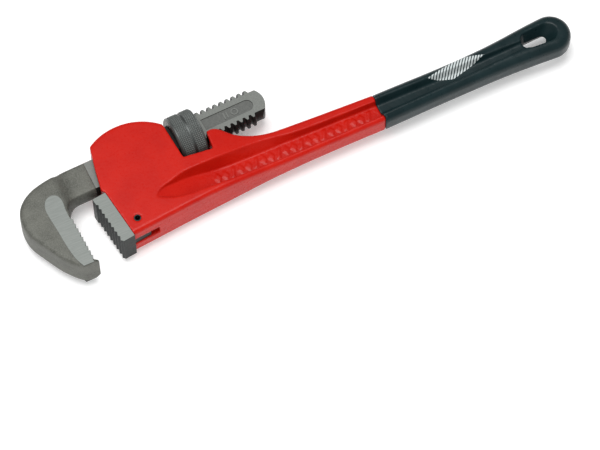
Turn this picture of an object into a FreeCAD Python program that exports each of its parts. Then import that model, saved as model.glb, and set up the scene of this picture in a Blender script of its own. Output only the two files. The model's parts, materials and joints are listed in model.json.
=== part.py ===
import FreeCAD, Part
import math
import os

# Pipe wrench, nominal 18 inch, straight pattern, lying flat on its side.
#
# The shapes are drawn in the nut frame: origin on the thread axis at the middle of the
# nut's window, +X from the jaws towards the grip, -Y towards the open mouth of the jaws,
# +Z square to the broad face, and the plane z = 0 through the middle of the wrench.
# At the end every piece is moved so that the row's origin is the bottom centre of the
# whole wrench. Lengths are in millimetres.

V = FreeCAD.Vector
UP = V(0, 0, 1)

# Thread of the nut and of the rack on the hook jaw
PITCH = 5.08
CREST_R = 13.7
ROOT_R = 11.4
CREST_WIDTH = 1.3
FLANK = 0.5                     # growth of half a tooth's width per mm of depth
THREAD_GAP = 0.25               # play along the axis on each flank
THREAD_START = -1.75            # where the thread's turn zero lies on the axis
CORE_R = ROOT_R + 0.35          # crest of the nut's own thread
BORE_R = CREST_R + 0.35         # root of the nut's own thread

# Shank of the hook jaw, in the shank frame (s along the thread axis, t across it)
SHANK_TILT = 2.2                # degrees between the thread axis and the handle
SHANK_HALF = 7.2
NECK_HALF = 7.5
NECK_END = -100.0               # where the round-edged bar starts to taper into the hook
TAPER = 12.0
TAPER_R = 9.2
SHANK_REAR = 64.7
RACK_FRONT = -34.0
PANEL_DEPTH = 0.7
PANEL_HALF = 4.9
PANEL_MIDDLE = -0.5

# Adjusting nut
NUT_FRONT = -10.7
NUT_REAR = 9.8
NUT_R = 19.2
BAND_R = 18.8
NUT_CHAMFER = 1.1
NUT_LIP = 0.6
NUT_GROOVE = (-0.4, 0.9)        # the groove between the nut's two knurled bands
NUT_GROOVE_DEPTH = 0.7

# Housing at the head of the handle
HEAD_HALF = 14.0
WINDOW_FRONT = (V(-11.9, -21.8, 0), V(-14.4, 10.3, 0))
WINDOW_REAR = (V(11.3, -23.9, 0), V(12.7, -8.3, 0))
EDGE_ROUND = 3.0
TUNNEL_HALF_Z = 7.85
TUNNEL_HALF_T = 15.6
SPRING_RECESS = 18.6

# Handle and grip
WEB_HALF = 3.0
BEAM_HALF = 8.8
GRIP_START = 139.0
GRIP_HALF = 10.2
GRIP_ROUND = 7.0
COAT = 1.7
GROOVE_END = 266.0
EYE_R = 16.0
EYE_CENTRE = V(286.2, -39.7, 0)
THROAT = ((V(267.0, -39.1, 0), 3.2), (V(279.0, -39.3, 0), 3.5))
DISH = ((V(268.5, -39.5, 0), 7.4), (V(283.5, -39.5, 0), 8.3))

# Jaws
JAW_HALF = 12.8
HOOK_TOOTH = 4.15
HOOK_DEPTH = 1.6
HOOK_TEETH = 9
HOOK_FOOT = V(-105.9, -70.6, 0)
HEEL_HALF = 14.0
HEEL_TOOTH = 4.4
HEEL_DEPTH = 1.4
HEEL_TEETH = 8
HEEL_PLATEAU = 6.4              # length of the plain lip above the heel jaw's teeth
HEEL_TOP = V(-76.1, -24.2, 0)
HEEL_FOOT = V(-70.6, -66.3, 0)
HEEL_THICK = 11.1
KEEL_END = V(-70.8, -64.9, 0)
TONGUE_HALF = 3.4
TONGUE_GAP = 0.15
PIN_CENTRE = V(-63.1, -53.9, 0)
PIN_R = 2.7
PIN_BORE_R = 2.05

# Coil and flat spring under the shank
SPRING_S = -52.0
STRIP_FRONT = -63.0
STRIP_REAR = -24.0
STRIP_HALF = 5.5
STRIP_THICK = 0.8
STRIP_TOP = -14.0
COIL_R = 4.0
COIL_WIRE_R = 0.6
COIL_TURNS = 6
RIVET_R = 1.3


def at(x, y, z=0.0):
    return V(x, y, z)


def line(a, b):
    return Part.makeLine(a, b)


def arc(a, b, c):
    return Part.Arc(a, b, c).toShape()


def curve(points):
    spline = Part.BSplineCurve()
    spline.interpolate(points)
    return spline.toShape()


def polyline(points):
    return [line(a, b) for a, b in zip(points, points[1:])]


def prism(edges, low, high):
    """A solid with the given outline in plan, between two heights."""
    face = Part.Face(Part.Wire(Part.sortEdges(edges)[0]))
    face.translate(V(0, 0, low))
    return face.extrude(V(0, 0, high - low))


def block(x0, x1, y0, y1, z0, z1):
    return Part.makeBox(x1 - x0, y1 - y0, z1 - z0, V(x0, y0, z0))


def in_shank_frame(shape):
    """Turns a shape drawn along X into the shank's direction."""
    return shape.rotated(V(0, 0, 0), UP, SHANK_TILT)


def thickness(stations):
    """A slab along X whose half thickness passes smoothly through the stations (x, half)."""
    top = curve([V(x, 0, half) for x, half in stations])
    bottom = curve([V(x, 0, -half) for x, half in stations])
    (first, half_a), (last, half_b) = stations[0], stations[-1]
    ends = [line(V(first, 0, -half_a), V(first, 0, half_a)),
            line(V(last, 0, -half_b), V(last, 0, half_b))]
    face = Part.Face(Part.Wire(Part.sortEdges([top, bottom] + ends)[0]))
    face.translate(V(0, -100, 0))
    return face.extrude(V(0, 160, 0))


def saw(start, along, out, count, pitch, depth, rise=0.7):
    """Points of a row of saw teeth: each rises outwards over part of its pitch."""
    points = [start]
    for k in range(count):
        root = start + along * (k * pitch)
        points.append(root + along * (rise * pitch) + out * depth)
        points.append(root + along * pitch)
    return points


def mirrored_pair(shape):
    """The shape and its mirror image in the wrench's middle plane."""
    return [shape, shape.mirror(V(0, 0, 0), UP)]


# ------------------------------------------------------------------ handle

def handle_outline():
    """Outline of the casting from the jaws to the start of the grip."""
    crown = arc(at(-70.9, 16.8), at(-44.0, 24.4), at(-13.7, 10.9))
    front = polyline([KEEL_END, HEEL_TOP, at(-78.0, -21.4), at(-75.2, -4.0), at(-70.9, 16.8)])
    across_window = line(at(-13.7, 10.9), at(12.9, -8.0))
    horn = curve([at(12.9, -8.0), at(17.0, -7.3), at(21.8, -9.3), at(28.5, -16.2),
                  at(37.8, -22.3), at(50.0, -26.4), at(64.0, -27.9)])
    top = line(at(64.0, -27.9), at(GRIP_START + 1, -31.0))
    end = line(at(GRIP_START + 1, -31.0), at(GRIP_START + 1, -54.8))
    keel = curve([at(GRIP_START + 1, -54.8), at(100, -55.0), at(60, -55.8), at(26, -57.0),
                  at(-7, -58.9), at(-40.5, -62.0), KEEL_END])
    return [crown, across_window, horn, top, end, keel] + front


def rounded(solid, half, radius, ends):
    """Rounds the long edges of a slab's two faces between two positions along X."""
    chosen = [e for e in solid.Edges
              if e.BoundBox.XMin > ends[0] - 0.1 and e.BoundBox.XMax < ends[1] + 0.1
              and e.BoundBox.XLength > 0.5 and min(abs(v.Z) for v in e.Vertexes) > half - 0.1]
    return solid.makeFillet(radius, chosen)


def grip_outline(inset):
    """Outline of the dipped end, drawn in by the given amount."""
    down, rise = V(0, -inset, 0), V(0, inset, 0)
    upper = [at(GRIP_START, -30.2), at(163, -30.1), at(190, -30.2), at(215, -29.7),
             at(242, -28.1), at(264, -25.7), EYE_CENTRE + V(0, EYE_R, 0)]
    lower = [at(GRIP_START, -55.8), at(165, -55.1), at(190, -54.4), at(215, -54.0),
             at(240, -53.8), at(264, -54.5), EYE_CENTRE + V(0, -EYE_R, 0)]
    upper = [p + down for p in upper]
    lower = [p + rise for p in lower]
    tip = arc(upper[-1], EYE_CENTRE + V(EYE_R - inset, 0, 0), lower[-1])
    return [curve(upper), tip, curve(lower), line(lower[0], upper[0])]


def hull(small, large, grown, height):
    """The wire round a small and a large circle, both grown, at the given height."""
    (a, ra), (b, rb) = small, large
    ra, rb = ra + grown, rb + grown
    lean = math.asin((rb - ra) / (b - a).Length)
    up = V(-math.sin(lean), math.cos(lean), 0)
    down = V(-math.sin(lean), -math.cos(lean), 0)
    edges = [line(a + up * ra, b + up * rb), arc(b + up * rb, b + V(rb, 0, 0), b + down * rb),
             line(b + down * rb, a + down * ra), arc(a + down * ra, a - V(ra, 0, 0), a + up * ra)]
    wire = Part.Wire(Part.sortEdges(edges)[0])
    wire.translate(V(0, 0, height))
    return wire


def hanging_hole(grown):
    """One half of the dished hole in the eye: a narrow throat that widens to the face."""
    throat = hull(*THROAT, grown, -0.2)
    mouth = hull(*DISH, grown, GRIP_HALF + 0.2)
    return Part.makeLoft([throat, mouth], True, True)


def pocket():
    """The hollow beside the web of the I-shaped handle, on the upper side."""
    floor = [[at(-36, -42), at(-22.5, -38.4), at(-12, -36.9), at(20, -37.3), at(60, -37.7),
              at(100, -38.0), at(GRIP_START, -38.1)],
             [at(-36, -42), at(-20, -48.5), at(0, -50.0), at(40, -50.6), at(85, -50.3),
              at(GRIP_START, -49.6)]]
    mouth = [[at(-44, -43.8), at(-38.1, -38.6), at(-29, -36.0), at(-20, -33.2), at(-8, -32.1),
              at(8, -31.2), at(22, -29.8), at(38, -28.2), at(54, -29.4), at(69, -33.0),
              at(84, -34.7), at(110, -35.9), at(GRIP_START, -37.2)],
             [at(-44, -43.8), at(-35, -48.9), at(-27.8, -51.3), at(-12, -52.9), at(10, -53.6),
              at(50, -53.2), at(85, -52.9), at(GRIP_START, -52.4)]]
    wires = []
    for height, (upper, lower) in ((WEB_HALF, floor), (HEAD_HALF + 1, mouth)):
        edges = [curve(upper), line(upper[-1], lower[-1]), curve(lower)]
        wire = Part.Wire(Part.sortEdges(edges)[0])
        wire.translate(V(0, 0, height))
        wires.append(wire)
    hollow = Part.makeLoft(wires, True, True)
    ramp = curve([V(-46, 0, HEAD_HALF + 0.2), V(-34, 0, 11.6), V(-16, 0, 7.0), V(-2, 0, 4.2),
                  V(10, 0, WEB_HALF)])
    rest = polyline([V(10, 0, WEB_HALF), V(GRIP_START + 2, 0, WEB_HALF),
                     V(GRIP_START + 2, 0, 17), V(-46, 0, 17), V(-46, 0, HEAD_HALF + 0.2)])
    above = Part.Face(Part.Wire(Part.sortEdges([ramp] + rest)[0]))
    above.translate(V(0, -90, 0))
    return hollow.common(above.extrude(V(0, 100, 0)))


def groove(narrowed, raised):
    """The channel in the faces of the dipped end: it shallows and runs into the eye's dish."""
    low, high = WEB_HALF + raised, GRIP_HALF + 3
    wires = []
    for height, upper, lower in ((low, (-39.3, -39.6, -40.0), (-47.5, -46.2, -44.2)),
                                 (high, (-34.6, -35.4, -37.0), (-51.8, -48.9, -45.6))):
        stations = (GRIP_START - 1, 210, GROOVE_END)
        corners = [at(x, y - narrowed) for x, y in zip(stations, upper)]
        corners += [at(x, y + narrowed) for x, y in reversed(list(zip(stations, lower)))]
        wire = Part.Wire(polyline(corners + corners[:1]))
        wire.translate(V(0, 0, height))
        wires.append(wire)
    hollow = Part.makeLoft(wires, True, True)
    ramp = polyline([V(130, 0, low), V(205, 0, low), V(GROOVE_END + 1, 0, low + 3.6),
                     V(GROOVE_END + 1, 0, 20), V(130, 0, 20), V(130, 0, low)])
    above = Part.Face(Part.Wire(ramp))
    above.translate(V(0, -70, 0))
    return hollow.common(above.extrude(V(0, 60, 0)))


def housing_cuts():
    """Everything machined into the head: tunnel, window, spring recess, heel slot, pin hole."""
    tunnel = block(-100, 100, -TUNNEL_HALF_T, TUNNEL_HALF_T, -TUNNEL_HALF_Z, TUNNEL_HALF_Z)
    recess = block(STRIP_FRONT - 3, STRIP_REAR + 3, -SPRING_RECESS, 0,
                   -STRIP_HALF - 0.8, STRIP_HALF + 0.8)
    coil_pocket = Part.makeCylinder(COIL_R + COIL_WIRE_R + 1.0, 12.0,
                                    V(SPRING_S, -SPRING_RECESS - 9.4, 0), V(0, 1, 0))
    cuts = [in_shank_frame(c) for c in (tunnel, recess, coil_pocket)]
    (front_low, front_top), (rear_low, rear_top) = WINDOW_FRONT, WINDOW_REAR
    corners = [front_low, rear_low, rear_low + (rear_top - rear_low) * 4,
               front_low + (front_top - front_low) * 2, front_low]
    cuts.append(prism(polyline(corners), -40, 40))
    gap = TONGUE_HALF + TONGUE_GAP
    cuts.append(block(-80, -50, -80, -38.6, -gap, gap))
    cuts.append(Part.makeCylinder(PIN_R + 0.02, 40, PIN_CENTRE - V(0, 0, 20)))
    return cuts


def make_handle():
    beam = thickness([(-100, HEAD_HALF), (-60, HEAD_HALF), (-10, HEAD_HALF), (14, 12.9),
                      (36, 10.8), (62, 9.3), (100, BEAM_HALF), (GRIP_START + 20, BEAM_HALF)])
    body = prism(handle_outline(), -HEAD_HALF, HEAD_HALF).common(beam)
    body = rounded(body, BEAM_HALF, EDGE_ROUND, (-71, GRIP_START + 1))
    for hollow in mirrored_pair(pocket()):
        body = body.cut(hollow)
    body = body.cut(housing_cuts())
    tang_half = GRIP_HALF - COAT
    tang = prism(grip_outline(COAT), -tang_half, tang_half)
    tang = rounded(tang, tang_half, GRIP_ROUND - COAT, (GRIP_START, 400))
    for hollow in mirrored_pair(groove(-COAT, -0.4)) + mirrored_pair(hanging_hole(COAT)):
        tang = tang.cut(hollow)
    return body.cut(block(GRIP_START, 200, -80, 0, -20, 20)).fuse(tang)


def make_grip(handle):
    """The vinyl coat: the dipped end's outside, less the handle inside it."""
    coat = prism(grip_outline(0), -GRIP_HALF, GRIP_HALF)
    coat = rounded(coat, GRIP_HALF, GRIP_ROUND, (GRIP_START, 400))
    for hollow in mirrored_pair(groove(0, 1.3)) + mirrored_pair(hanging_hole(0)):
        coat = coat.cut(hollow)
    return coat.cut(handle)


# ------------------------------------------------------------------ thread

def helical_ridge(profile, start_turns, turns):
    """A ridge along X: a profile (radius, offset along the axis) swept round the axis.

    Turn zero points along +Y, and the ridge advances one pitch along +X each turn.
    """
    radius = profile[0][0]
    helix = Part.makeHelix(PITCH, PITCH * turns, radius)
    corners = [V(r, 0, offset) for r, offset in profile]
    ridge = Part.Wire(helix.Edges).makePipeShell([Part.Wire(polyline(corners + corners[:1]))],
                                                 True, True)
    ridge.rotate(V(0, 0, 0), UP, 360 * start_turns)
    ridge.translate(V(0, 0, PITCH * start_turns))
    ridge.rotate(V(0, 0, 0), V(0, 1, 0), 90)
    ridge.rotate(V(0, 0, 0), V(1, 0, 0), 90)
    return ridge


def half_tooth(radius):
    return CREST_WIDTH / 2 + FLANK * (CREST_R - radius)


def rack_tooth(turn):
    """One tooth of the rack, centred on the given turn of the thread."""
    base = ROOT_R - 0.6
    profile = [(base, -half_tooth(base)), (CREST_R, -CREST_WIDTH / 2),
               (CREST_R, CREST_WIDTH / 2), (base, half_tooth(base))]
    ridge = helical_ridge(profile, -0.125, 0.25)
    ridge.rotate(V(0, 0, 0), V(1, 0, 0), 360 * turn)
    ridge.translate(V(PITCH * turn + THREAD_START, 0, 0))
    return ridge


# ------------------------------------------------------------------ hook jaw

def make_hook_jaw():
    along = V(1, 0, 0)
    core = Part.makeCylinder(ROOT_R, SHANK_REAR - RACK_FRONT, V(RACK_FRONT, 0, 0), along)
    smooth = Part.makeCylinder(CREST_R, RACK_FRONT - NECK_END, V(NECK_END, 0, 0), along)
    taper = Part.makeCone(TAPER_R, CREST_R, TAPER, V(NECK_END - TAPER, 0, 0), along)
    first = math.ceil(2 * (RACK_FRONT + 3) / PITCH)
    last = math.floor(2 * (SHANK_REAR - 4) / PITCH)
    teeth = [rack_tooth(half_turn / 2) for half_turn in range(first, last)]
    bar = core.fuse([smooth, taper] + teeth)
    shoulder, half, front = SHANK_REAR - CREST_R, CREST_R + 0.2, NECK_END - TAPER
    round_end = prism([line(at(front, half), at(shoulder, half)),
                       arc(at(shoulder, half), at(SHANK_REAR, 0), at(shoulder, -half)),
                       line(at(shoulder, -half), at(front, -half)),
                       line(at(front, -half), at(front, half))], -SHANK_HALF, SHANK_HALF)
    shank = bar.common(round_end)
    for panel in mirrored_pair(size_panel()):
        shank = shank.cut(panel)
    return in_shank_frame(shank).fuse(hook_head())


def size_panel():
    """The shallow round-ended panel in the face of the shank's rear end."""
    low, high = PANEL_MIDDLE - PANEL_HALF, PANEL_MIDDLE + PANEL_HALF
    reach = SHANK_REAR - CREST_R - 0.6
    edges = [line(at(14, high), at(reach, high)),
             arc(at(reach, high), at(reach + PANEL_HALF, PANEL_MIDDLE), at(reach, low)),
             line(at(reach, low), at(14, low)), line(at(14, low), at(14, high))]
    return prism(edges, SHANK_HALF - PANEL_DEPTH, SHANK_HALF + 1)


def shank_edge(s, t):
    """A point of the shank frame, in the nut frame."""
    return FreeCAD.Rotation(UP, SHANK_TILT).multVec(V(s, t, 0))


def hook_head():
    side = math.sqrt(CREST_R ** 2 - NECK_HALF ** 2)
    top, under = shank_edge(-80, side), shank_edge(-80, -side)
    heel = at(-114.2, -73.6)
    back = curve([top, shank_edge(-91, side), at(-100, 7.2), at(-108.6, 5.9), at(-117.2, 4.2),
                  at(-126.0, 1.2), at(-133.3, -3.6), at(-138.4, -9.8), at(-140.9, -17),
                  at(-141.5, -25), at(-140.1, -33), at(-136.0, -41.8), at(-131.5, -50.6),
                  at(-127.0, -58.8), at(-121.7, -66.1), heel])
    toe = polyline([heel, at(-106.0, -73.4), at(-102.1, -73.1), at(-101.8, -71.8),
                    at(-103.0, -70.9), HOOK_FOOT])
    teeth = saw(HOOK_FOOT, shank_edge(0, 1), shank_edge(1, 0), HOOK_TEETH, HOOK_TOOTH, HOOK_DEPTH)
    throat = curve([teeth[-1], at(-106.5, -28.0), at(-104.9, -23.0), at(-102.0, -19.0),
                    at(-97, -16.0), shank_edge(-91, -side), under])
    outline = [back, throat, line(under, top)] + toe + polyline(teeth)
    flare = thickness([(-160, JAW_HALF), (-130, JAW_HALF), (-114, JAW_HALF), (-108, JAW_HALF),
                       (-105.4, JAW_HALF - 0.2), (-103, JAW_HALF - 2.0), (-101, NECK_HALF + 1.8),
                       (-98, NECK_HALF + 0.7), (-94, NECK_HALF + 0.1), (-91, NECK_HALF),
                       (-87, NECK_HALF), (-78, NECK_HALF)])
    return prism(outline, -JAW_HALF, JAW_HALF).common(flare)


# ------------------------------------------------------------------ nut

def make_nut():
    (left, right), valley = NUT_GROOVE, BAND_R - NUT_GROOVE_DEPTH
    lip = NUT_FRONT + NUT_CHAMFER
    outline = [at(NUT_FRONT, BORE_R), at(NUT_FRONT, NUT_R - NUT_CHAMFER), at(lip, NUT_R),
               at(lip + NUT_LIP, NUT_R), at(lip + NUT_LIP + 0.4, BAND_R),
               at(left, BAND_R), at(left + 0.3, valley), at(right - 0.3, valley),
               at(right, BAND_R), at(NUT_REAR - 0.7, BAND_R), at(NUT_REAR, BAND_R - 0.7),
               at(NUT_REAR, BORE_R)]
    section = Part.Face(Part.Wire(polyline(outline + outline[:1])))
    tube = section.revolve(V(0, 0, 0), V(1, 0, 0), 360)
    outer = BORE_R + 0.4
    profile = [(outer, -nut_half(outer)), (outer, nut_half(outer)),
               (CORE_R, nut_half(CORE_R)), (CORE_R, -nut_half(CORE_R))]
    first = NUT_FRONT / PITCH - 1.0
    ridge = helical_ridge(profile, first, (NUT_REAR - NUT_FRONT) / PITCH + 2.0)
    ridge.translate(V(PITCH / 2 + THREAD_START, 0, 0))
    length = Part.makeCylinder(outer + 2, NUT_REAR - NUT_FRONT, V(NUT_FRONT, 0, 0), V(1, 0, 0))
    return in_shank_frame(tube.fuse(ridge.common(length)))


def nut_half(radius):
    """Half the width of the nut's own thread: what the rack's teeth leave free."""
    return PITCH / 2 - half_tooth(radius) - THREAD_GAP


# ------------------------------------------------------------------ heel jaw and springs

def heel_frame():
    """Directions of the heel jaw's seat: down its length, and out towards the teeth."""
    down = (HEEL_FOOT - HEEL_TOP).normalize()
    return down, V(down.y, -down.x, 0)


def make_heel_jaw():
    down, out = heel_frame()
    length = (HEEL_FOOT - HEEL_TOP).Length
    top = HEEL_TOP + out * 0.05 + down * 0.3
    foot = top + down * (length - 0.2)
    lip = [top + out * HEEL_THICK, top + out * HEEL_THICK + down * (HEEL_PLATEAU - 0.9)]
    first_root = top + out * (HEEL_THICK - HEEL_DEPTH) + down * HEEL_PLATEAU
    teeth = saw(first_root, down, out, HEEL_TEETH, HEEL_TOOTH, HEEL_DEPTH)
    corner = foot + out * (HEEL_THICK - HEEL_DEPTH)
    outline = [foot, top] + lip + teeth + [corner, foot]
    jaw = prism(polyline(outline), -HEEL_HALF, HEEL_HALF)
    inner = HEEL_TOP + down * 17.0
    low = foot - down * 2.2
    tongue = [inner + out * 0.2, low + out * 0.2, low - out * 14.5, inner - out * 14.5,
              inner + out * 0.2]
    jaw = jaw.fuse(prism(polyline(tongue), -TONGUE_HALF, TONGUE_HALF))
    return jaw.cut(Part.makeCylinder(PIN_R + 0.03, 30, PIN_CENTRE - V(0, 0, 15)))


def make_heel_pin():
    """A spring pin: a rolled tube with a slit along it."""
    length = 2 * HEAD_HALF - 0.6
    start = PIN_CENTRE - V(0, 0, length / 2)
    pin = Part.makeCylinder(PIN_R, length, start).cut(Part.makeCylinder(PIN_BORE_R, length, start))
    slit = block(0, 10, -0.5, 0.5, -20, 20)
    slit.translate(PIN_CENTRE)
    return pin.cut(slit)


def make_flat_spring():
    """A bowed strip that presses on the shank over the coil and rests at its tail."""
    crown = [V(STRIP_FRONT, STRIP_TOP - 0.9, 0), V(SPRING_S, STRIP_TOP - 0.05, 0),
             V(SPRING_S + 12, STRIP_TOP - 0.9, 0), V(STRIP_REAR, STRIP_TOP - 2.4, 0)]
    low = [p - V(0, STRIP_THICK, 0) for p in crown]
    edges = [curve(crown), line(crown[-1], low[-1]), curve(low), line(low[0], crown[0])]
    strip = prism(edges, -STRIP_HALF, STRIP_HALF)
    hole = Part.makeCylinder(RIVET_R + 0.05, 10, V(SPRING_S, STRIP_TOP - 6, 0), V(0, 1, 0))
    return in_shank_frame(strip.cut(hole))


def make_coil_spring():
    top = STRIP_TOP - STRIP_THICK - 0.35
    length = SPRING_RECESS + 9.2 + top
    pitch = (length - 2 * COIL_WIRE_R) / COIL_TURNS
    helix = Part.makeHelix(pitch, pitch * COIL_TURNS, COIL_R)
    ring = Part.Wire(Part.makeCircle(COIL_WIRE_R, V(COIL_R, 0, 0), V(0, 1, 0)))
    coil = Part.Wire(helix.Edges).makePipeShell([ring], True, True)
    coil.rotate(V(0, 0, 0), V(1, 0, 0), -90)
    coil.translate(V(SPRING_S, top - length + COIL_WIRE_R, 0))
    return in_shank_frame(coil)


def make_spring_rivet():
    """The rivet that holds the coil's plug to the strip."""
    under = STRIP_TOP - STRIP_THICK - 0.1
    stem = Part.makeCylinder(RIVET_R, 5.0, V(SPRING_S, under - 4.3, 0), V(0, 1, 0))
    plug = Part.makeCylinder(COIL_R - COIL_WIRE_R - 0.15, 4.2, V(SPRING_S, under - 4.3, 0),
                             V(0, 1, 0))
    return in_shank_frame(plug.fuse(stem))


# ------------------------------------------------------------------ assembly

def make_pieces():
    handle = make_handle()
    pieces = {
        "handle": handle,
        "handle_grip": make_grip(handle),
        "hook_jaw": make_hook_jaw(),
        "adjusting_nut": make_nut(),
        "heel_jaw": make_heel_jaw(),
        "heel_jaw_pin": make_heel_pin(),
        "flat_spring": make_flat_spring(),
        "coil_spring": make_coil_spring(),
        "spring_rivet": make_spring_rivet(),
    }
    box = Part.makeCompound(list(pieces.values())).optimalBoundingBox(False)
    base = V(box.Center.x, box.Center.y, box.ZMin)
    for shape in pieces.values():
        shape.translate(base * -1)
    return pieces, base


pieces, base = make_pieces()
os.makedirs("parts", exist_ok=True)
for name, shape in pieces.items():
    solid = shape.Solids[0] if len(shape.Solids) == 1 else shape
    print(name, "solids", len(shape.Solids), "valid", shape.isValid(), "cm3",
          round(shape.Volume / 1000, 2))
    solid.exportStep("parts/" + name + ".step")
print("row origin in the nut frame:", base)
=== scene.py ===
import json
import math

import bmesh
import bpy
from mathutils import Matrix, Vector
from mathutils.bvhtree import BVHTree


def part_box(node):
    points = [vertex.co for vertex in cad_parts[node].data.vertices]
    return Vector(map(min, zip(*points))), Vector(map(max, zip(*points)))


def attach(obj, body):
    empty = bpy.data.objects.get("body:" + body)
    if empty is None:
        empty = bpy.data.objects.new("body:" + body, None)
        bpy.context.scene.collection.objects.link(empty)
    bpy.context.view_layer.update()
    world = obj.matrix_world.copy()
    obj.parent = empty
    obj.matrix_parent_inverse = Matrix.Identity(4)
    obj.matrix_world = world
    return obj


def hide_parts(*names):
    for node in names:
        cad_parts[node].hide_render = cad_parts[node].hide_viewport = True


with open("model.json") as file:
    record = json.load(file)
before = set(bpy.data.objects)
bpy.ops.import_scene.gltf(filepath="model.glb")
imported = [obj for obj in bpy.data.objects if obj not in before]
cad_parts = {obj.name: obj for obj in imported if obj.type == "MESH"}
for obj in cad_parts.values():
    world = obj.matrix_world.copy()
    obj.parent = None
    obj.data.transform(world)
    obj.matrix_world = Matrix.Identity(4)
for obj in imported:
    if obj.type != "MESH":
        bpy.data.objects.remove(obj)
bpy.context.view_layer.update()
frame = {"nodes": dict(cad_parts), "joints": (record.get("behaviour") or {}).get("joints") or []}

# Lengths are in metres. Places are given in millimetres in the nut frame, whose origin is
# the middle of the adjusting nut, and plan() and MM turn them into the row frame.
MM = 0.001
JOINTS = {joint["name"]: joint for joint in frame["joints"]}
NUT = Vector(JOINTS["nut_spin"]["pos_m"])
SHANK_AXIS = Vector(JOINTS["nut_spin"]["axis"]).normalized()
ACROSS = Vector((-SHANK_AXIS.y, SHANK_AXIS.x, 0))
GRIP_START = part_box("handle_grip")[0].x
NECK_END = -79.5                # where the forging ends and the ground shank starts
PANEL_FACE = 6.5                # height of the shank's sunken panel
PRINT_CENTRE = (207.0, -36.8)   # the lozenge of printed bars on the grip
PRINT_PITCH = 2.6
PRINT_HALF_X = 24.0
PRINT_HALF_Y = 6.5


def plan(x, y, z=0.0):
    return NUT + Vector((x, y, z)) * MM


def in_nut_frame(point):
    return (point - NUT) / MM


def on_shank(s, t, z=0.0):
    """A point given along and across the shank, in millimetres."""
    return NUT + (SHANK_AXIS * s + ACROSS * t + Vector((0, 0, z))) * MM


# ------------------------------------------------------------------ materials

class Shader:
    """A node tree round one Principled shader, with short names for the nodes used here."""

    def __init__(self, name, roughness, metallic=0.0, **constants):
        self.material = bpy.data.materials.new(name)
        self.material.use_nodes = True
        self.tree = self.material.node_tree
        self.surface = self.tree.nodes["Principled BSDF"]
        self.surface.inputs["Roughness"].default_value = roughness
        self.surface.inputs["Metallic"].default_value = metallic
        for key, value in constants.items():
            self.surface.inputs[key.replace("_", " ")].default_value = value
        self.place = self.node("ShaderNodeTexCoord").outputs["Object"]

    def node(self, kind, **settings):
        made = self.tree.nodes.new(kind)
        for key, value in settings.items():
            setattr(made, key, value)
        return made

    def link(self, output, target):
        self.tree.links.new(output, target)

    def noise(self, size, detail=3.0, roughness=0.5, stretch=None):
        """Noise with features of the given size in metres, from 0 to 1."""
        where = self.place
        if stretch:
            mapping = self.node("ShaderNodeMapping")
            mapping.inputs["Scale"].default_value = stretch
            self.link(where, mapping.inputs["Vector"])
            where = mapping.outputs["Vector"]
        noise = self.node("ShaderNodeTexNoise")
        noise.inputs["Scale"].default_value = 1 / size
        noise.inputs["Detail"].default_value = detail
        noise.inputs["Roughness"].default_value = roughness
        self.link(where, noise.inputs["Vector"])
        return noise.outputs["Fac"]

    def ramp(self, value, low, high, start=0.0, end=1.0):
        """Maps low..high to start..end, and holds the ends."""
        span = self.node("ShaderNodeMapRange")
        for key, number in zip(("From Min", "From Max", "To Min", "To Max"),
                               (low, high, start, end)):
            span.inputs[key].default_value = number
        self.link(value, span.inputs["Value"])
        return span.outputs["Result"]

    def math(self, operation, a, b=0.0):
        node = self.node("ShaderNodeMath", operation=operation)
        for socket, value in zip(node.inputs, (a, b)):
            if isinstance(value, (int, float)):
                socket.default_value = value
            else:
                self.link(value, socket)
        return node.outputs["Value"]

    def mix(self, factor, a, b):
        node = self.node("ShaderNodeMix", data_type="RGBA")
        self.link(factor, node.inputs["Factor"])
        for socket, value in zip((node.inputs["A"], node.inputs["B"]), (a, b)):
            if isinstance(value, tuple):
                socket.default_value = (*value, 1.0)
            else:
                self.link(value, socket)
        return node.outputs["Result"]

    def part(self, vector, axis, origin=0.0):
        """One part of a vector, measured from the given origin."""
        split = self.node("ShaderNodeSeparateXYZ")
        self.link(vector, split.inputs[0])
        return self.math("SUBTRACT", split.outputs[axis], origin)

    def normal_part(self, axis):
        """The size of one part of the surface normal, 0 to 1."""
        normal = self.node("ShaderNodeNewGeometry").outputs["Normal"]
        return self.math("ABSOLUTE", self.part(normal, axis))

    def radius(self, centre, axis):
        """Distance in millimetres from a line through the centre."""
        away = self.node("ShaderNodeVectorMath", operation="SUBTRACT")
        self.link(self.place, away.inputs[0])
        away.inputs[1].default_value = centre
        cross = self.node("ShaderNodeVectorMath", operation="CROSS_PRODUCT")
        self.link(away.outputs["Vector"], cross.inputs[0])
        cross.inputs[1].default_value = axis
        length = self.node("ShaderNodeVectorMath", operation="LENGTH")
        self.link(cross.outputs["Vector"], length.inputs[0])
        return self.math("DIVIDE", length.outputs["Value"], MM)

    def color(self, output):
        self.link(output, self.surface.inputs["Base Color"])

    def roughness(self, output):
        self.link(output, self.surface.inputs["Roughness"])

    def bump(self, height, depth, strength=1.0):
        """Raises the surface by up to depth metres."""
        bump = self.node("ShaderNodeBump")
        bump.inputs["Distance"].default_value = depth
        bump.inputs["Strength"].default_value = strength
        self.link(height, bump.inputs["Height"])
        self.link(bump.outputs["Normal"], self.surface.inputs["Normal"])


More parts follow.
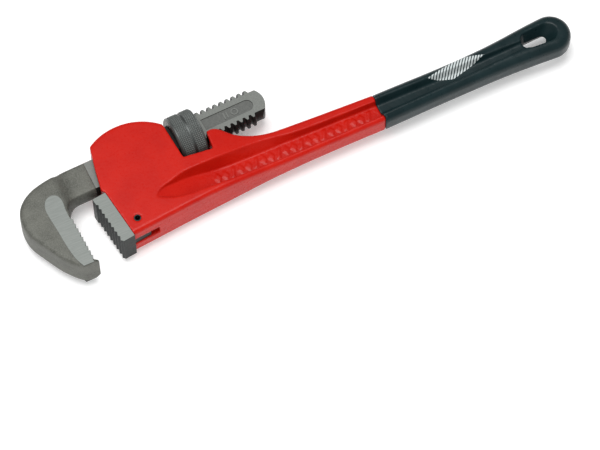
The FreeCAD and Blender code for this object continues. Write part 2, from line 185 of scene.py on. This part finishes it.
def red_paint():
    """Glossy enamel over a casting: smooth on the broad faces, pebbled in the hollows."""
    s = Shader("red_enamel", 0.32, Coat_Weight=0.08, Coat_Roughness=0.15)
    s.surface.inputs["Specular IOR Level"].default_value = 0.13
    cloud = s.noise(0.018, 2)
    grain = s.noise(0.0016, 4, 0.6)
    tone = s.mix(s.ramp(cloud, 0.3, 0.7), (0.43, 0.007, 0.003), (0.48, 0.010, 0.004))
    s.color(s.mix(s.ramp(grain, 0.55, 0.85, 0, 0.25), tone, (0.52, 0.025, 0.012)))
    s.roughness(s.ramp(grain, 0.3, 0.7, 0.24, 0.38))
    height = s.math("MULTIPLY", s.math("ABSOLUTE", s.part(s.place, "Z", NUT.z)), 1 / MM)
    hollow = s.ramp(height, 5.0, 8.5, 1.0, 0.22)
    lumps = s.math("ADD", s.math("MULTIPLY", grain, 0.5), s.noise(0.003, 3, 0.55))
    s.bump(s.math("MULTIPLY", lumps, hollow), 0.0003)
    return s.material


def vinyl():
    """Dark green-black dipped vinyl, with a row of pale printed bars on its upper ridge."""
    s = Shader("dipped_vinyl", 0.36)
    s.surface.inputs["Specular IOR Level"].default_value = 0.22
    cloud = s.noise(0.012, 2)
    tone = s.mix(s.ramp(cloud, 0.3, 0.7), (0.0050, 0.0145, 0.0165), (0.0080, 0.0205, 0.0230))
    s.color(s.mix(printed_bars(s), tone, (0.55, 0.60, 0.60)))
    s.roughness(s.ramp(s.noise(0.004, 3), 0.3, 0.7, 0.26, 0.36))
    s.bump(s.noise(0.0028, 3), 0.0001)
    return s.material


def printed_bars(s):
    """Where the print is, 0 or 1: slanted bars inside a lozenge, on both broad faces."""
    centre = plan(*PRINT_CENTRE)
    x = s.math("DIVIDE", s.part(s.place, "X", centre.x), MM)
    y = s.math("DIVIDE", s.part(s.place, "Y", centre.y), MM)
    slanted = s.math("SUBTRACT", x, s.math("MULTIPLY", y, 0.8))
    bar = s.math("LESS_THAN", s.math("FRACT", s.math("DIVIDE", slanted, PRINT_PITCH)), 0.62)
    reach = s.math("ADD", s.math("DIVIDE", s.math("ABSOLUTE", slanted), PRINT_HALF_X),
                   s.math("DIVIDE", s.math("ABSOLUTE", y), PRINT_HALF_Y))
    inside = s.math("LESS_THAN", reach, 1.0)
    broad = s.math("GREATER_THAN", s.normal_part("Z"), 0.15)
    return s.math("MULTIPLY", s.math("MULTIPLY", bar, inside), broad)


def forged_steel():
    """Heat-darkened forging scale, speckled grey-brown."""
    s = Shader("forged_steel", 0.55, metallic=0.35)
    speck = s.noise(0.0011, 4, 0.7)
    cloud = s.noise(0.010, 3)
    base = s.mix(s.ramp(cloud, 0.35, 0.65), (0.075, 0.077, 0.065), (0.105, 0.107, 0.091))
    s.color(s.mix(s.ramp(speck, 0.42, 0.72, 0, 0.7), base, (0.19, 0.192, 0.170)))
    s.roughness(s.ramp(speck, 0.3, 0.7, 0.48, 0.66))
    s.bump(s.math("ADD", speck, s.noise(0.004, 3)), 0.00022)
    return s.material


def ground_steel(name, dark):
    """Ground flats with fine lines along X; faces that aren't broad ones take the dark colour,
    which is painted shade.
    """
    s = Shader(name, 0.42, metallic=0.2)
    s.surface.inputs["Specular IOR Level"].default_value = 0.2
    lines = s.noise(0.0006, 3, 0.6, stretch=(0.06, 1.0, 1.0))
    # broad is 1 on faces facing up or down; the steep faces take the dark colour as painted shade
    broad = s.ramp(s.normal_part("Z"), 0.85, 0.97)
    bright = s.mix(s.ramp(lines, 0.3, 0.7), (0.175, 0.190, 0.178), (0.225, 0.240, 0.226))
    s.color(s.mix(broad, dark, bright))
    s.roughness(s.ramp(lines, 0.3, 0.7, 0.36, 0.5))
    s.bump(lines, 0.00005)
    return s.material


def rack_steel():
    """The shank: ground land and a darker panel, with painted shade: near-black on the steep
    faces between the teeth and in the window under the nut.
    """
    s = Shader("rack_steel", 0.45, metallic=0.2)
    s.surface.inputs["Specular IOR Level"].default_value = 0.2
    speck = s.noise(0.0012, 4, 0.65)
    height = s.math("DIVIDE", s.math("ABSOLUTE", s.part(s.place, "Z", NUT.z)), MM)
    land = s.mix(s.ramp(speck, 0.3, 0.7), (0.140, 0.148, 0.138), (0.195, 0.204, 0.190))
    panel = s.mix(s.ramp(speck, 0.3, 0.7), (0.088, 0.092, 0.086), (0.128, 0.132, 0.124))
    flat = s.mix(s.ramp(height, PANEL_FACE + 0.1, PANEL_FACE + 0.6), panel, land)
    # painted shade: near-black within 7 mm of x = -7, fading out by 9 mm, where the shank runs
    # under the nut in the housing's window
    by_nut = s.math("ABSOLUTE", s.part(s.place, "X", plan(-7, 0).x))
    clear_of_nut_shade = s.ramp(by_nut, 7 * MM, 9 * MM)
    # steep faces, such as the teeth's flanks, take the near-black as painted shade
    broad = s.math("MULTIPLY", s.ramp(s.normal_part("Z"), 0.85, 0.97), clear_of_nut_shade)
    s.color(s.mix(broad, (0.014, 0.014, 0.013), flat))
    s.roughness(s.ramp(speck, 0.3, 0.7, 0.4, 0.55))
    s.bump(speck, 0.00006)
    return s.material


def nut_steel():
    """Dark steel, worn bright on the crests of the knurl and black in its valleys."""
    s = Shader("nut_steel", 0.42, metallic=0.4)
    speck = s.noise(0.0014, 4, 0.65)
    crest = s.ramp(s.radius(NUT, SHANK_AXIS), BAND_ROOT_R, BAND_ROOT_R + 0.8 * KNURL_DEPTH)
    worn = s.mix(speck, (0.17, 0.185, 0.175), (0.24, 0.26, 0.248))
    s.color(s.mix(crest, (0.012, 0.015, 0.014), worn))
    s.roughness(s.ramp(speck, 0.3, 0.7, 0.38, 0.55))
    return s.material


def spring_steel():
    s = Shader("spring_steel", 0.35, metallic=0.9)
    speck = s.noise(0.002, 3)
    s.color(s.mix(speck, (0.22, 0.22, 0.23), (0.34, 0.34, 0.35)))
    s.roughness(s.ramp(speck, 0.3, 0.7, 0.28, 0.42))
    return s.material


def black_oxide():
    s = Shader("black_oxide", 0.4, metallic=0.6)
    s.color(s.mix(s.noise(0.001, 3), (0.012, 0.012, 0.012), (0.035, 0.035, 0.035)))
    return s.material


# ------------------------------------------------------------------ mesh tools

def new_piece(name, mesh, material, body, node=None):
    piece = bpy.data.objects.new(name, mesh)
    bpy.context.scene.collection.objects.link(piece)
    mesh.materials.clear()
    mesh.materials.append(material)
    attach(piece, body)
    if node:
        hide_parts(node)
    return piece


def node_mesh(node):
    """A welded copy of a CAD node's mesh."""
    bm = bmesh.new()
    bm.from_mesh(frame["nodes"][node].data)
    bmesh.ops.remove_doubles(bm, verts=bm.verts, dist=2e-6)
    return bm


def keep_side(bm, point, outward):
    """Cuts away what lies beyond the point in the outward direction, and closes the cut."""
    geometry = bm.verts[:] + bm.edges[:] + bm.faces[:]
    bmesh.ops.bisect_plane(bm, geom=geometry, plane_co=point, plane_no=outward, clear_outer=True)
    bmesh.ops.holes_fill(bm, edges=[e for e in bm.edges if e.is_boundary], sides=0)


def finished(bm, name):
    bmesh.ops.recalc_face_normals(bm, faces=bm.faces)
    mesh = bpy.data.meshes.new(name)
    bm.to_mesh(mesh)
    bm.free()
    return mesh


def modified(mesh, build):
    """The mesh after the modifiers that build() adds to an object of it."""
    piece = bpy.data.objects.new(mesh.name, mesh)
    bpy.context.scene.collection.objects.link(piece)
    build(piece)
    graph = bpy.context.evaluated_depsgraph_get()
    result = bpy.data.meshes.new_from_object(piece.evaluated_get(graph))
    bpy.data.objects.remove(piece)
    return result


def shade_smooth(mesh):
    mesh.polygons.foreach_set("use_smooth", [True] * len(mesh.polygons))
    mesh.update()
    return mesh


def softened(mesh, voxel, rounds, stiff=None):
    """Rebuilds the mesh in even small quads, then rounds its edges.

    stiff is a function of a point in the nut frame: 0 leaves the point where it is.
    """
    def remesh(piece):
        voxels = piece.modifiers.new("voxels", "REMESH")
        voxels.mode = "VOXEL"
        voxels.voxel_size = voxel

    def smooth(piece):
        smoothing = piece.modifiers.new("smoothing", "SMOOTH")
        smoothing.factor = 0.5
        smoothing.iterations = rounds
        if stiff:
            group = piece.vertex_groups.new(name="soft")
            for vertex in piece.data.vertices:
                group.add([vertex.index], stiff(in_nut_frame(vertex.co)), "REPLACE")
            smoothing.vertex_group = "soft"

    return shade_smooth(modified(modified(mesh, remesh), smooth))


def bevelled(mesh, width, segments=2, angle=30):
    def build(piece):
        bevel = piece.modifiers.new("bevel", "BEVEL")
        bevel.width = width
        bevel.segments = segments
        bevel.limit_method = "ANGLE"
        bevel.angle_limit = math.radians(angle)
        piece.modifiers.new("normals", "WEIGHTED_NORMAL").keep_sharp = True

    return modified(shade_smooth(mesh), build)


def flat_faced(bm):
    """Joins the triangles of each flat face, so that its edges can be bevelled."""
    bmesh.ops.dissolve_limit(bm, angle_limit=math.radians(0.5), verts=bm.verts, edges=bm.edges)


def plate(bm, outline, low, high):
    """Adds a flat plate with the given outline, a list of points in the nut frame."""
    rings = [[bm.verts.new(plan(x, y, z)) for x, y in outline] for z in (low, high)]
    bm.faces.new(reversed(rings[0]))
    bm.faces.new(rings[1])
    for a in range(len(outline)):
        b = (a + 1) % len(outline)
        bm.faces.new([rings[0][a], rings[0][b], rings[1][b], rings[1][a]])


def smooth_line(points, steps=6):
    """A Catmull-Rom curve through the points."""
    ends = [points[0]] + list(points) + [points[-1]]
    line = []
    for a, b, c, d in zip(ends, ends[1:], ends[2:], ends[3:]):
        for k in range(steps):
            t = k / steps
            line.append(tuple(
                0.5 * (2 * q + (r - p) * t + (2 * p - 5 * q + 4 * r - w) * t ** 2
                       + (3 * q - p - 3 * r + w) * t ** 3)
                for p, q, r, w in zip(a, b, c, d)))
    return line + [tuple(points[-1])]


# ------------------------------------------------------------------ handle

WEB_FACE = 3.0                  # height of the web's face above the middle plane
MARK_RISE = 0.55
MARKS = 21
MARK_START = 6.0
MARK_PITCH = 6.2
MARK_LINE = -44.1


def raised_marks(bm):
    """A row of plain cast lozenges and slanted bars along the web, on both sides."""
    for side in (1, -1):
        for k in range(MARKS):
            x = MARK_START + MARK_PITCH * k
            half = 3.9 - 0.004 * x
            top = WEB_FACE + MARK_RISE + max(0.0, 0.1 * (10 - x))
            corners = [(-2.5, 0), (0, -half), (2.5, 0), (0, half)]
            if k % 3 == 2:
                corners = [(-2.6, -half), (-0.4, -half), (2.6, half), (0.4, half)]
            outline = [(x + dx, MARK_LINE + dy) for dx, dy in corners]
            plate(bm, outline, *sorted((side * (WEB_FACE - 1), side * top)))


COIL_BOX = [in_nut_frame(corner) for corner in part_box("coil_spring")]


def handle_softness(point):
    """Full rounding outside, and none in the pocket round the coil spring."""
    inside = all(a - 1.8 < b < c + 1.8 for a, b, c in zip(COIL_BOX[0], point, COIL_BOX[1]))
    return 0.0 if inside else 1.0


def make_handle():
    bm = node_mesh("handle")
    keep_side(bm, Vector((GRIP_START + 5 * MM, 0, 0)), Vector((1, 0, 0)))
    raised_marks(bm)
    mesh = softened(finished(bm, "cast_handle"), 0.55 * MM, 7, handle_softness)
    return new_piece("cast_handle", mesh, red_paint(), "handle", "handle")


def grip_softness(point):
    """Little rounding at the sharp edge of the hole's throat."""
    near_hole = max(abs(point.x - 272) / 14, abs(point.y + 39.5) / 8.5)
    return 0.1 if near_hole < 1 and abs(point.z) < 6 else 1.0


def make_grip():
    """The coat's outside, closed over the handle inside it."""
    bm = node_mesh("handle_grip")
    inner = BVHTree.FromBMesh(node_mesh("handle"))
    touching = [v for v in bm.verts if inner.find_nearest(v.co)[3] < 0.02 * MM]
    bmesh.ops.delete(bm, geom=touching, context="VERTS")
    bmesh.ops.holes_fill(bm, edges=[e for e in bm.edges if e.is_boundary], sides=0)
    mesh = softened(finished(bm, "dipped_grip"), 0.6 * MM, 10, grip_softness)
    return new_piece("dipped_grip", mesh, vinyl(), "handle", "handle_grip")


# ------------------------------------------------------------------ jaws

JAW_FACE = 12.8
HOOK_FOOT = Vector((-105.9, -70.6, 0))
HOOK_TOOTH = (4.15, 1.6, 9)     # pitch, depth, number
TOOTH_RISE = 0.7


def hook_softness(point):
    """How far the forging's surface may be rounded: freely at its back, little at the teeth."""
    if point.x > NECK_END - 2:
        return 0.03
    from_neck = max(0.08, (-93 - point.x) / 12)
    from_teeth = (-107.5 - point.x) / 9 if point.y < -26 else 1.0
    return min(1.0, max(0.04, min(from_neck, from_teeth)))


def make_hook():
    bm = node_mesh("hook_jaw")
    keep_side(bm, plan(NECK_END - 0.1, 0), Vector((1, 0, 0)))
    mesh = softened(finished(bm, "hook_forging"), 0.55 * MM, 220, hook_softness)
    new_piece("hook_forging", mesh, forged_steel(), "hook_jaw", "hook_jaw")
    bm = node_mesh("hook_jaw")
    keep_side(bm, plan(NECK_END - 0.4, 0), Vector((-1, 0, 0)))
    flat_faced(bm)
    mesh = bevelled(finished(bm, "hook_shank"), 0.22 * MM)
    steel = rack_steel()
    new_piece("hook_shank", mesh, steel, "hook_jaw")
    new_piece("shank_marks", shank_marks(), steel, "hook_jaw")


def shank_marks():
    """A plain raised ring and two bars in the shank's panel, on both faces."""
    bm = bmesh.new()
    for side in (1, -1):
        low, high = sorted((side * (PANEL_FACE - 0.4), side * (PANEL_FACE + 0.4)))
        for s in (31.0, 33.4):
            plate_on_shank(bm, [(s, -3.4), (s + 1.1, -3.4), (s + 1.1, 2.4), (s, 2.4)], low, high)
        for k in range(24):
            a, b = math.tau * k / 24, math.tau * (k + 1) / 24
            corners = [(40 + r * math.cos(turn), -0.5 + r * math.sin(turn))
                       for r, turn in ((3.0, a), (3.0, b), (1.9, b), (1.9, a))]
            plate_on_shank(bm, corners, low, high)
    bmesh.ops.remove_doubles(bm, verts=bm.verts, dist=1e-6)
    return finished(bm, "shank_marks")


def plate_on_shank(bm, outline, low, high):
    corners = [in_nut_frame(on_shank(s, t)) for s, t in outline]
    plate(bm, [(corner.x, corner.y) for corner in corners], low, high)


def make_ground_faces():
    """The bright ground flats beside the hook's teeth, on both broad faces."""
    edge = smooth_line([(-114.0, -73.0), (-117.2, -64.3), (-119.0, -51.7), (-119.9, -38.6),
                        (-121.0, -27.0), (-121.2, -18.5), (-118.6, -12.0), (-113.8, -9.4),
                        (-109.6, -10.8), (-107.4, -14.6), (-107.2, -19.5), (-107.8, -25.0),
                        (-107.6, -32.6)])
    pitch, depth, count = HOOK_TOOTH
    teeth = []
    for k in reversed(range(count)):
        teeth.append(HOOK_FOOT + ACROSS * ((k + 1) * pitch) - SHANK_AXIS * 0.1)
        teeth.append(HOOK_FOOT + ACROSS * ((k + TOOTH_RISE) * pitch) + SHANK_AXIS * (depth - 0.1))
    outline = edge + [(corner.x, corner.y) for corner in teeth]
    outline += [(HOOK_FOOT.x, HOOK_FOOT.y - 0.2), (HOOK_FOOT.x + 0.2, HOOK_FOOT.y - 2.4)]
    # The second colour is painted shade, for the plates' steep edges.
    material = ground_steel("hook_ground_steel", (0.022, 0.024, 0.022))
    for name, side in (("hook_flat_top", 1), ("hook_flat_under", -1)):
        bm = bmesh.new()
        low, high = sorted((side * (JAW_FACE - 0.6), side * (JAW_FACE + 0.12)))
        plate(bm, outline, low, high)
        mesh = bevelled(finished(bm, name), 0.1 * MM)
        new_piece(name, mesh, material, "hook_jaw")


def make_heel():
    bm = node_mesh("heel_jaw")
    flat_faced(bm)
    mesh = bevelled(finished(bm, "heel_block"), 0.25 * MM)
    # The near-black second colour is painted shade, for the teeth's flanks and the block's sides.
    return new_piece("heel_block", mesh, ground_steel("heel_steel", (0.011, 0.014, 0.013)),
                     "handle", "heel_jaw")


# ------------------------------------------------------------------ nut

BANDS = ((-8.8, -0.45), (0.95, 9.1))     # the two knurled bands along the nut's axis
BAND_ROOT_R = 18.75
KNURL_DEPTH = 0.5
KNURLS = 62                     # diamonds round a band
STEPS = 8                       # grid steps to one diamond


def knurl_height(turn, along):
    """Height of the diamond pattern, 0 to 1, at a place on the band."""
    period = math.tau * BAND_ROOT_R / KNURLS
    ridges = []
    for sense in (1, -1):
        phase = (turn * KNURLS + sense * along / period) % 1.0
        ridges.append(min(phase, 1 - phase) * 2)
    return min(ridges)


def knurled_band(bm, start, end):
    period = math.tau * BAND_ROOT_R / KNURLS
    rows = round((end - start) / period * STEPS)
    around = KNURLS * STEPS
    rings = []
    for row in range(rows + 1):
        along = start + (end - start) * row / rows
        fade = min(1.0, row / 3, (rows - row) / 3)
        rings.append((along, [BAND_ROOT_R + KNURL_DEPTH * fade * knurl_height(k / around, along)
                              for k in range(around)]))
    rings.append((end, [BAND_ROOT_R - 0.6] * around))
    rings.append((start, [BAND_ROOT_R - 0.6] * around))
    loops = []
    for along, radii in rings:
        turns = [math.tau * k / around for k in range(around)]
        loops.append([bm.verts.new(on_shank(along, radius * math.cos(turn),
                                            radius * math.sin(turn)))
                      for radius, turn in zip(radii, turns)])
    for a, b in zip(loops, loops[1:] + loops[:1]):
        for k in range(around):
            bm.faces.new([a[k], a[(k + 1) % around], b[(k + 1) % around], b[k]])


def make_knurl():
    bm = bmesh.new()
    for start, end in BANDS:
        knurled_band(bm, start, end)
    knurl = new_piece("nut_knurl", finished(bm, "nut_knurl"), nut_steel(), "adjusting_nut")


# ------------------------------------------------------------------ stage

def paint_cad_nodes():
    """CAD nodes whose shape is right keep it and get a worked material."""
    steel = spring_steel()
    finishes = {"adjusting_nut": bpy.data.materials["nut_steel"], "heel_jaw_pin": black_oxide(),
                "flat_spring": steel, "coil_spring": steel, "spring_rivet": steel}
    for node, material in finishes.items():
        for slot in frame["nodes"][node].material_slots:
            slot.link = "OBJECT"
            slot.material = material


def make_floor():
    bm = bmesh.new()
    bmesh.ops.create_grid(bm, x_segments=1, y_segments=1, size=6.0)
    mesh = bpy.data.meshes.new("floor")
    bm.to_mesh(mesh)
    bm.free()
    s = Shader("floor_white", 0.7, Emission_Strength=0.2)
    s.surface.inputs["Emission Color"].default_value = (1, 1, 1, 1)
    s.color(s.mix(s.noise(0.5, 2), (0.93, 0.93, 0.93), (0.95, 0.95, 0.95)))
    mesh.materials.append(s.material)
    floor = bpy.data.objects.new("floor", mesh)
    bpy.context.scene.collection.objects.link(floor)


def add_area(name, place, target, size, power):
    light = bpy.data.lights.new(name, "AREA")
    light.energy = power
    light.size = size
    lamp = bpy.data.objects.new(name, light)
    lamp.location = place
    lamp.rotation_euler = (target - place).to_track_quat("-Z", "Y").to_euler()
    bpy.context.scene.collection.objects.link(lamp)


def make_lights():
    middle = plan(60, -25)
    add_area("key", middle + Vector((-0.2, 0.15, 1.9)), middle, 1.3, 34)
    add_area("fill", middle + Vector((-0.5, -1.1, 1.2)), middle, 0.9, 8)
    world = bpy.data.worlds.new("studio")
    world.use_nodes = True
    world.node_tree.nodes["Background"].inputs["Color"].default_value = (1, 1, 1, 1)
    world.node_tree.nodes["Background"].inputs["Strength"].default_value = 0.36
    bpy.context.scene.world = world
    bpy.context.scene.view_settings.view_transform = "Standard"


# The camera stands where the wrench was seen from: a long lens, 62 degrees above the floor.
CAMERA_TURN = math.radians(-25.5)
CAMERA_RISE = math.radians(62)
CAMERA_DISTANCE = 1.985
CAMERA_LENS = 162
VIEW_CENTRE = plan(44.55, -103.87)


def make_camera():
    data = bpy.data.cameras.new("camera")
    data.lens = CAMERA_LENS
    data.clip_start = 0.05
    camera = bpy.data.objects.new("camera", data)
    back = Vector((math.sin(CAMERA_TURN) * math.cos(CAMERA_RISE),
                   -math.cos(CAMERA_TURN) * math.cos(CAMERA_RISE), math.sin(CAMERA_RISE)))
    right = Vector((math.cos(CAMERA_TURN), math.sin(CAMERA_TURN), 0))
    camera.matrix_world = Matrix.Translation(VIEW_CENTRE + back * CAMERA_DISTANCE) @ Matrix(
        (right, back.cross(right), back)).transposed().to_4x4()
    bpy.context.scene.collection.objects.link(camera)
    bpy.context.scene.camera = camera


make_handle()
make_grip()
make_hook()
make_ground_faces()
make_heel()
make_knurl()
paint_cad_nodes()
make_floor()
make_lights()
make_camera()
